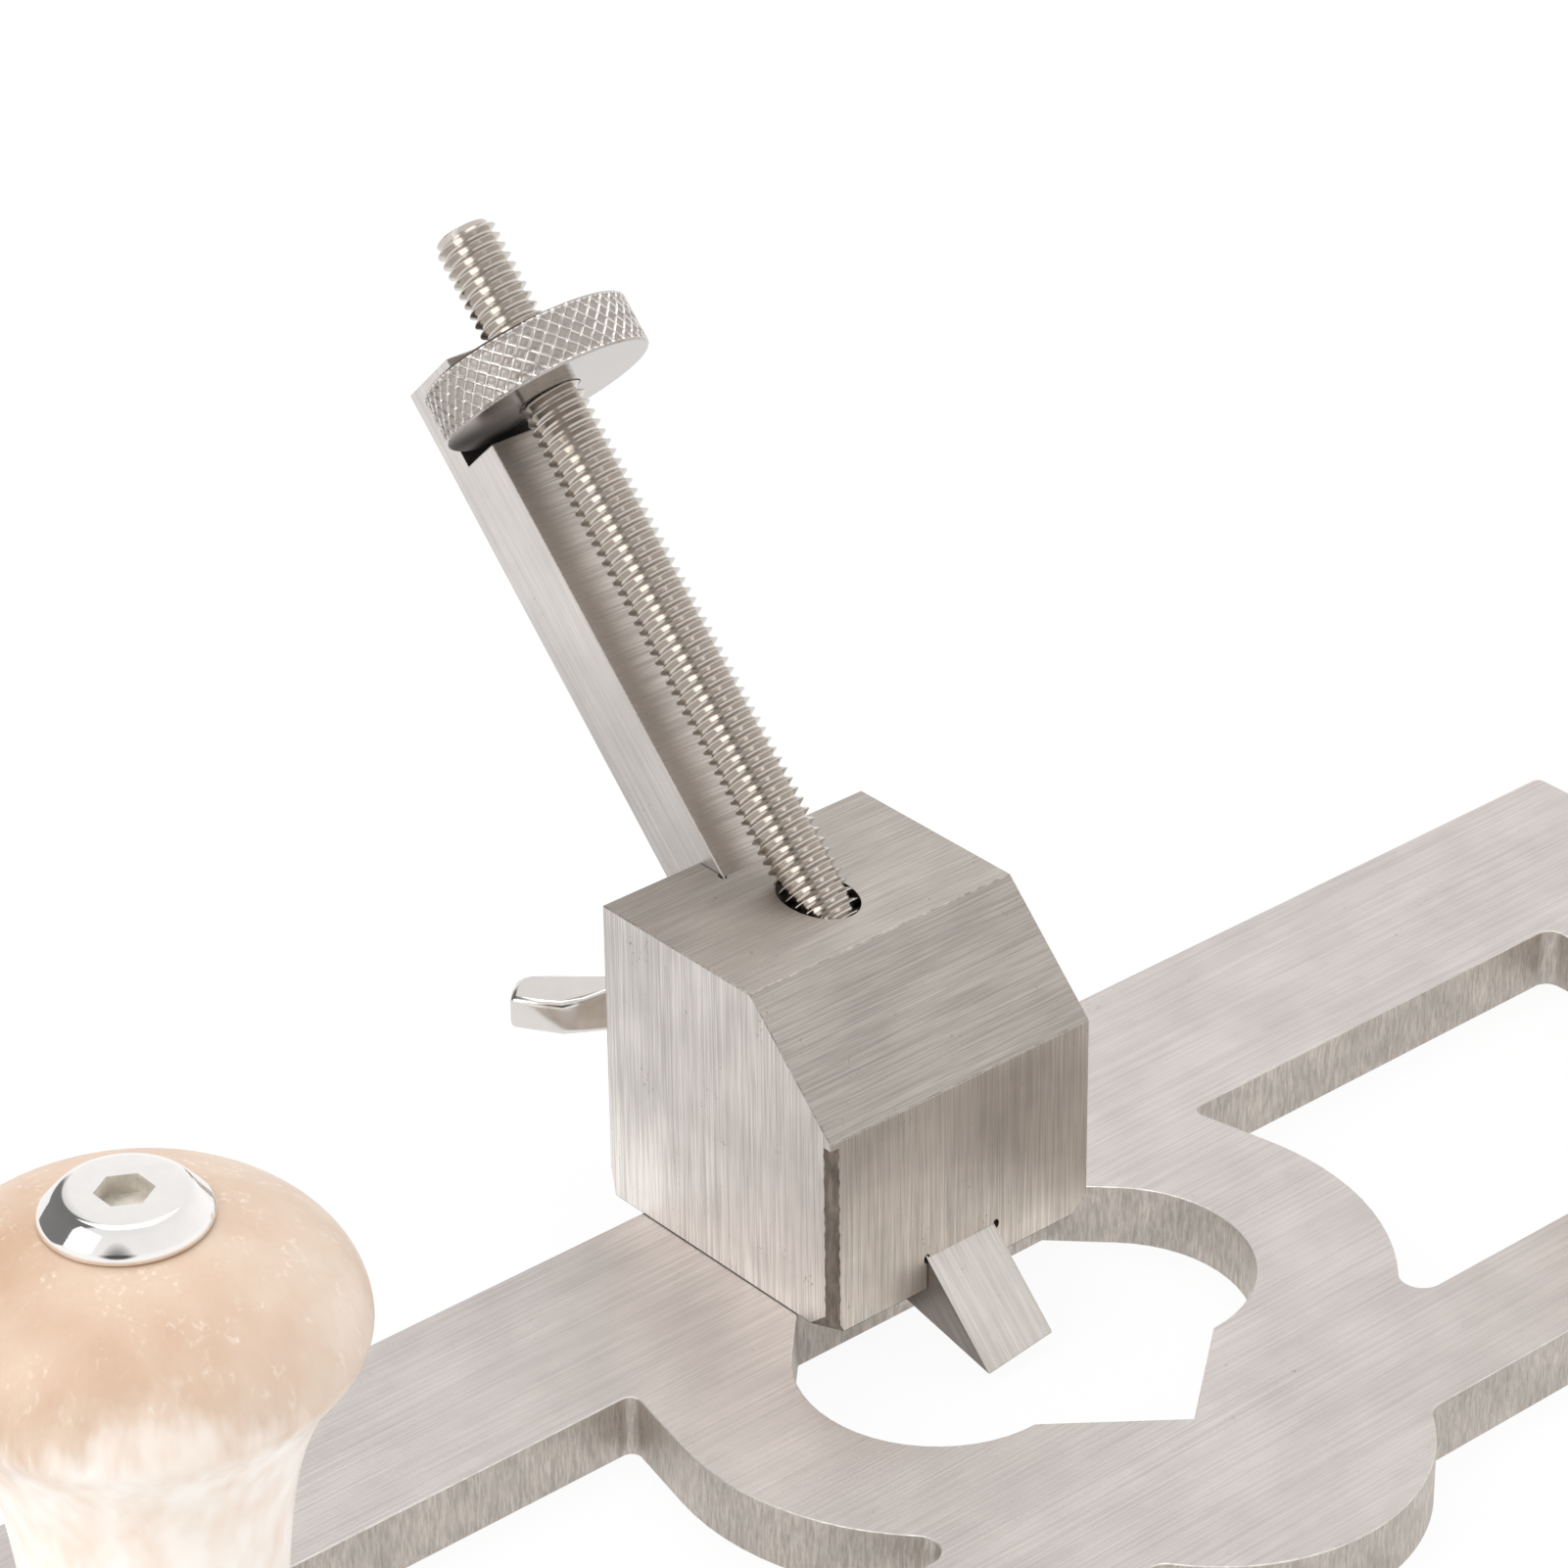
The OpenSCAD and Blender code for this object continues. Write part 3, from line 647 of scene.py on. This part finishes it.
def threaded_stud():
    """The thread, cut to length and pointed, with the plain end below it."""
    bm = bmesh.new()
    profile = []
    z = PLAIN_TO - 1
    while z < STUD_HIGH + 2:
        profile += [(ROOT, z), (ROOT, z + FLANK_AT), (CREST, z + CREST_AT), (CREST, z + CREST_TO)]
        z += PITCH
    lathe(bm, profile, 40, lead_mm=PITCH, close=False)
    for height, up in ((PLAIN_TO, -1), (STUD_HIGH, 1)):
        cut = bmesh.ops.bisect_plane(bm, geom=bm.verts[:] + bm.edges[:] + bm.faces[:],
                                     dist=1e-7, plane_co=(0, 0, height * MM),
                                     plane_no=(0, 0, up), clear_outer=True)
        rim = [e for e in cut["geom_cut"] if isinstance(e, bmesh.types.BMEdge)]
        if up == 1:
            bmesh.ops.contextual_create(bm, geom=rim)
    # The top is pointed a little
    for v in bm.verts:
        reach = (POINT_R + max(0.0, STUD_HIGH - v.co.z / MM) * POINT_SLOPE) * MM
        radius = math.hypot(v.co.x, v.co.y)
        if radius > reach:
            v.co.x, v.co.y = v.co.x * reach / radius, v.co.y * reach / radius
    # The plain end that sits in the block
    hidden = bmesh.ops.create_cone(bm, cap_ends=True, cap_tris=False, segments=40,
                                   radius1=CREST * MM, radius2=CREST * MM,
                                   depth=(PLAIN_TO - STUD_LOW) * MM)
    bmesh.ops.translate(bm, verts=hidden["verts"],
                        vec=(0, 0, (PLAIN_TO + STUD_LOW) / 2 * MM))
    bmesh.ops.transform(bm, matrix=LEAN, verts=bm.verts)
    return bm


make_piece("stud", threaded_stud(), "frame", [thread_steel], "feed_stud",
           sharp=35)

# %% [markdown]
# ## The knurled wheel
# A knurling tool presses rows of diamonds into the rim. The rim is turned with many fine steps,
# and each of its points then sinks by how close it lies to the middle of a diamond.

# %% Knurled wheel
WHEEL_R, WHEEL_HALF, CHAMFER = 10.0, 2.5, 0.2
KNURL_TURNS, KNURL_RISE, KNURL_DEPTH = 44, 1.42, 0.17
DIAMOND_STEPS, KNURL_ROWS = 14, 48
# A diamond's ridge, the slope beside it, and the middle that stands proud, as shares of it
RIDGE, SLOPE, PROUD_FROM, PROUD_SLOPE, PROUD_MM = 0.05, 4.5, 0.5, 8, 0.03
POCKET, RIDGES, DISC = range(3)
# The middle of the wheel's painted shade, on its underside in the notch's mouth
notch_middle = wheel_centre / MM + Vector((-6.5, 1.8, -5.3))
wheel_face = turned_metal("wheel_face", tone(184, 178, 174), 0.12, wheel_centre, -45,
                          notch_middle)


def knurl_sink(turn_share, z):
    """How deep the knurl is at a place on the rim: thin ridges round flat pockets."""
    one, two = turn_share + z / KNURL_RISE, turn_share - z / KNURL_RISE
    # 0 on a ridge, 1 in the middle of a pocket
    pocket = min(1 - abs((p % 1) * 2 - 1) for p in (one, two))
    sink = KNURL_DEPTH * min(1.0, max(0.0, pocket - RIDGE) * SLOPE)
    # The middle of each pocket stands a little proud of its border
    return sink - PROUD_MM * min(1.0, max(0.0, pocket - PROUD_FROM) * PROUD_SLOPE)


def knurled_wheel():
    """A turned disc with its rim sunk by the knurl."""
    bm = bmesh.new()
    land = WHEEL_HALF - CHAMFER
    rim = [(WHEEL_R, -land + 2 * land * i / KNURL_ROWS) for i in range(KNURL_ROWS + 1)]
    profile = [(3.05, -WHEEL_HALF), (3.3, -WHEEL_HALF), (WHEEL_R - CHAMFER, -WHEEL_HALF)] + rim
    profile += [(WHEEL_R - CHAMFER, WHEEL_HALF), (3.3, WHEEL_HALF), (3.05, WHEEL_HALF)]
    lathe(bm, profile, KNURL_TURNS * DIAMOND_STEPS)
    for v in bm.verts:
        radius, z = math.hypot(v.co.x, v.co.y) / MM, v.co.z / MM
        if radius > WHEEL_R - 0.01:
            sink = knurl_sink(math.atan2(v.co.y, v.co.x) / math.tau * KNURL_TURNS, z)
            sink *= min(1.0, 0.25 + (land - abs(z)) / 0.2)
            v.co.x, v.co.y = v.co.x * (1 - sink / WHEEL_R), v.co.y * (1 - sink / WHEEL_R)
    for face in bm.faces:
        middle = face.calc_center_median()
        radius = middle.xy.length
        if abs(middle.z) > land * MM or radius < (WHEEL_R - 0.5) * MM:
            face.material_index = DISC
        else:
            on_ridge = radius > (WHEEL_R - 0.45 * KNURL_DEPTH) * MM
            face.material_index = RIDGES if on_ridge else POCKET
    bmesh.ops.transform(bm, matrix=LEAN, verts=bm.verts)
    return bm


make_piece("knurled_wheel", knurled_wheel(), "feed_wheel",
           [knurl_pocket, knurl_ridge, wheel_face], "feed_wheel", sharp=40)

# %% [markdown]
# ## The wing screw
# It is one cast and plated piece: a turned hub with a shank, and two blades that sweep out and
# back. A blade starts as a flat outline, gets its thickness, thins to its tip, and is rounded.

# %% Wing screw
wing_joint = next(j for j in frame["joints"] if j["name"] == "wing_screw_turn")
HUB = Vector((0, BLOCK_BACK, wing_joint["pos_m"][2]))
# One blade's outline seen from above: across, and back from the block's rear face
BLADE = [(2.5, 3.4), (5.4, 5.8), (9.0, 7.5), (11.0, 8.2), (12.8, 9.1), (14.2, 11.0),
         (15.6, 13.2), (14.4, 14.35), (13.2, 15.2), (12.4, 15.3), (11.6, 14.9), (10.4, 13.5),
         (8.9, 11.6), (7.4, 9.8), (5.4, 9.2), (2.5, 9.0)]
BLADE_THICK, THIN_FROM, THIN_OVER, THIN_BY = 5.2, 5.5, 7, 0.385


def wing_screw():
    """The hub with its shank, one blade, and the blade's mirror image."""
    bm = bmesh.new()
    tip = (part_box("wing_screw")[0].y - HUB.y) / MM
    lathe(bm, [(0.001, tip), (1.2, tip), (3.0, tip + 1.8), (3.0, 1.5), (5.5, 1.5), (5.3, 3.5),
               (4.7, 7.5), (4.3, 9.1), (3.8, 9.5), (0.001, 9.5)], 48, close=False)
    bmesh.ops.rotate(bm, verts=bm.verts, cent=(0, 0, 0),
                     matrix=Matrix.Rotation(math.radians(-90), 3, "X"))
    hub = set(bm.verts)
    outline = bm.faces.new([bm.verts.new((x * MM, y * MM, -BLADE_THICK / 2 * MM))
                            for x, y in BLADE])
    raised = bmesh.ops.extrude_face_region(bm, geom=[outline])["geom"]
    bmesh.ops.translate(bm, verts=[v for v in raised if isinstance(v, bmesh.types.BMVert)],
                        vec=(0, 0, BLADE_THICK * MM))
    for v in bm.verts:
        if v not in hub:
            v.co.z *= 1 - THIN_BY * min(1, max(0, (v.co.x / MM - THIN_FROM) / THIN_OVER))
    rims = [e for e in bm.edges if e.verts[0] not in hub
            and e.calc_face_angle(0) > math.radians(60)]
    bmesh.ops.bevel(bm, geom=rims, offset=0.55 * MM, offset_type="OFFSET", segments=3,
                    profile=0.5, affect="EDGES", material=-1, clamp_overlap=True)
    blade = [v for v in bm.verts if v not in hub]
    blade += [g for g in [*bm.edges, *bm.faces] if g.verts[0] not in hub]
    copied = bmesh.ops.duplicate(bm, geom=blade)["geom"]
    other = [g for g in copied if isinstance(g, bmesh.types.BMVert)]
    bmesh.ops.scale(bm, verts=other, vec=(-1, 1, 1))
    bmesh.ops.translate(bm, verts=bm.verts, vec=HUB)
    return bm


make_piece("wing_screw_piece", wing_screw(), "wing_screw", [wing_steel],
           "wing_screw", sharp=40, flat_over=18)

# %% [markdown]
# ## The knobs and their bolts
# A knob is one line turned about an upright axis: a straight neck, a flare, a round shoulder and
# a dome. The bolt's head is turned too, and its hexagon socket is bridged in.

# %% Knobs
BORE_R, FOOT_R, FOOT_Z, NECK_R, NECK_Z = 3.25, 9.9, 1.2, 9.8, 14.0
TURN_R, TURN_Z, KNOB_R, WIDE_Z = 16.7, 39.6, 17.7, 42.0
SEAT_R, SEAT, TURNED_STEPS = 6.95, 51.6, 96


def knob_line():
    """(radius, height) points from the foot up: neck, flare, round shoulder and dome."""
    line = [(BORE_R, 0), (FOOT_R - 0.5, 0), (FOOT_R - 0.15, 0.15), (FOOT_R, 0.5),
            (FOOT_R, FOOT_Z)]
    for i in range(1, 7):
        t = i / 6
        line.append((NECK_R + (FOOT_R - NECK_R) * (1 - t) ** 2.2,
                     FOOT_Z + (NECK_Z - FOOT_Z) * t))
    for i in range(1, 25):
        t = i / 24
        line.append((NECK_R + (TURN_R - NECK_R) * (0.3 * t + 0.7 * t ** 4),
                     NECK_Z + (TURN_Z - NECK_Z) * t))
    for i in range(1, 9):
        t = i / 8
        line.append((KNOB_R - (KNOB_R - TURN_R) * (1 - t) ** 2, TURN_Z + (WIDE_Z - TURN_Z) * t))
    dome = math.acos(SEAT_R / KNOB_R)
    for i in range(1, 21):
        a = dome * i / 20
        line.append((KNOB_R * math.cos(a), WIDE_Z + (SEAT - WIDE_Z) * math.sin(a) / math.sin(dome)))
    return line + [(BORE_R, SEAT)]


HEAD, SOCKET_R, SOCKET_DEPTH = 2.4, 2.31, 1.6
BOLT_LINE = [(3.0, -5.5), (3.0, SEAT), (6.3, SEAT), (6.58, SEAT + 0.15), (6.65, SEAT + 0.4),
             (6.6, SEAT + 0.7), (6.4, SEAT + 1.0), (5.5, SEAT + 1.9), (5.2, SEAT + 2.2),
             (4.9, SEAT + 2.35), (4.5, SEAT + HEAD), (2.9, SEAT + HEAD)]


def knob_at(node, name):
    """Turns a knob where its plain solid stands, and returns the middle of its foot."""
    low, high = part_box(node)
    foot = Vector(((low.x + high.x) / 2, (low.y + high.y) / 2, low.z))
    bm = bmesh.new()
    lathe(bm, knob_line(), TURNED_STEPS)
    bmesh.ops.translate(bm, verts=bm.verts, vec=foot)
    make_piece(name, bm, "frame", [lacquered_wood(f"{name}_wood", foot)], node, sharp=35)
    return foot


def bolt_at(node, name, foot):
    """Turns a bolt over a knob's foot and gives its head a hexagon socket."""
    bm = bmesh.new()
    lathe(bm, BOLT_LINE, TURNED_STEPS, close=False)
    bmesh.ops.contextual_create(bm, geom=[e for e in bm.edges
                                          if e.is_boundary and e.verts[0].co.z < 0])
    inner = [e for e in bm.edges if e.is_boundary]
    hexagon = bmesh.ops.create_circle(bm, segments=6, radius=SOCKET_R * MM)["verts"]
    bmesh.ops.translate(bm, verts=hexagon, vec=(0, 0, (SEAT + HEAD) * MM))
    sides = [e for e in bm.edges if e.verts[0] in hexagon and e.verts[1] in hexagon]
    bmesh.ops.bridge_loops(bm, edges=inner + sides)
    down = bmesh.ops.extrude_edge_only(bm, edges=sides)["geom"]
    bottom = [v for v in down if isinstance(v, bmesh.types.BMVert)]
    bmesh.ops.translate(bm, verts=bottom, vec=(0, 0, -SOCKET_DEPTH * MM))
    bmesh.ops.contextual_create(bm, geom=[e for e in down if isinstance(e, bmesh.types.BMEdge)
                                          and e.verts[0] in bottom and e.verts[1] in bottom])
    for face in bm.faces:
        if any(v in bottom for v in face.verts):
            face.material_index = 1
    bmesh.ops.translate(bm, verts=bm.verts, vec=foot)
    make_piece(name, bm, "frame", [chrome, socket_steel], node, sharp=35)


for side in ("left", "right"):
    bolt_at(f"knob_bolt_{side}", f"bolt_{side}", knob_at(f"knob_{side}", f"turned_knob_{side}"))

# %% [markdown]
# ## The screws under the sole
# Two countersunk screws hold the block. Their solids are right as they are and get a dark finish.

# %% Block screws
for side in ("left", "right"):
    screw = frame["nodes"][f"block_screw_{side}"]
    for slot in screw.material_slots:
        slot.material = dark_screw

# %% [markdown]
# ## Light
# The picture was made on white with soft light from above and from the left, so the front of the
# block is its darker side. The floor and the world show white to the camera and to polished
# metal. The floor keeps a part of its own shade, so the tool still stands on something.

# %% Floor
bm = bmesh.new()
bmesh.ops.create_grid(bm, x_segments=1, y_segments=1, size=3)
bmesh.ops.translate(bm, verts=bm.verts, vec=(0, 0, -0.00005))
floor_mesh = bpy.data.meshes.new("floor")
bm.to_mesh(floor_mesh)
bm.free()
floor = bpy.data.objects.new("floor", floor_mesh)
bpy.context.scene.collection.objects.link(floor)
floor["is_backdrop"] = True

WHITE_SHARE = 0.93  # the rest is the floor's own shade
paper = Finish("paper", 0.0, 0.8)
paper.shader.inputs["Base Color"].default_value = (0.9, 0.9, 0.9, 1)
glow = paper.node("ShaderNodeEmission", Strength=1.0)
rays = paper.node("ShaderNodeLightPath").outputs
seen = paper.calc("MAXIMUM", rays["Is Camera Ray"], rays["Is Glossy Ray"])
mixed = paper.node("ShaderNodeMixShader")
for socket, value in zip(mixed.inputs, (paper.calc("MULTIPLY", seen, WHITE_SHARE),
                                        paper.shader.outputs[0], glow.outputs[0])):
    paper.feed(socket, value)
paper.feed(paper.tree.nodes["Material Output"].inputs["Surface"], mixed.outputs[0])
floor_mesh.materials.append(paper.material)

# %% World
world = bpy.data.worlds.new("studio")
bpy.context.scene.world = world
world.use_nodes = True
sky = Nodes(world.node_tree)
background = sky.tree.nodes["Background"]
background.inputs["Color"].default_value = (1, 1, 1, 1)
path = sky.node("ShaderNodeLightPath").outputs
way = sky.node("ShaderNodeTexCoord").outputs["Generated"]
# A little brighter at the horizon than overhead
height = sky.node("ShaderNodeSeparateXYZ", Vector=way).outputs["Z"]
even = sky.remap(height, 0.0, 1.0, 1.1, 0.86)


def dark_lobe(direction, outer, inner, shade, light):
    """Dims the light from round a direction, between two cosines, down to a share."""
    facing = sky.compare("DOT_PRODUCT", way, Vector(direction).normalized())
    return sky.calc("MULTIPLY", light, sky.remap(facing, outer, inner, 1.0, shade))


# The room round the photographer, a little to their left, which polished threads mirror
lit = dark_lobe(turn @ Vector((-0.12, 0, 1)), 0.92, 0.98, 0.1, even)
# The dark end of the studio, which the bolts' heads mirror on their left
lit = dark_lobe((-0.28, 0.84, 0.47), 0.76, 0.81, 0.2, lit)
# Only a first reflection shows them, so the wood sees the even room. The world counts a camera
# ray as 1, so a first reflection is 2.
first = sky.calc("LESS_THAN", path["Ray Depth"], 2.5)
room = sky.node("ShaderNodeMix")
ROOM_SHARE, ROOM_EVEN, ROOM_LIT = 0, 2, 3  # the sockets that a Mix node has for numbers
sky.feed(room.inputs[ROOM_SHARE], sky.calc("MULTIPLY", first, path["Is Glossy Ray"]))
sky.feed(room.inputs[ROOM_EVEN], even)
sky.feed(room.inputs[ROOM_LIT], lit)
strength = sky.calc("MAXIMUM", path["Is Camera Ray"], room.outputs[0])
sky.feed(background.inputs["Strength"], strength)

# %% Lamps
def soft_lamp(name, place, aim, width, power):
    """A square lamp that faces a point."""
    light = bpy.data.lights.new(name, "AREA")
    light.size, light.energy = width, power
    lamp = bpy.data.objects.new(name, light)
    lamp.location = place
    lamp.rotation_euler = (Vector(aim) - Vector(place)).to_track_quat("-Z", "Y").to_euler()
    bpy.context.scene.collection.objects.link(lamp)


soft_lamp("left_softbox", (-2.3, 0.6, 1.9), (0, 0, 0.02), 1.6, 24)
soft_lamp("top_softbox", (0.6, 0.9, 2.8), (0, 0, 0.02), 1.8, 22)
bpy.context.scene.view_settings.view_transform = "Standard"

# %% [markdown]
# ## Sizes
# The dressed tool has to stay as large as the solids, so its box is measured.

# %% Measure the sizes
low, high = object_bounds()
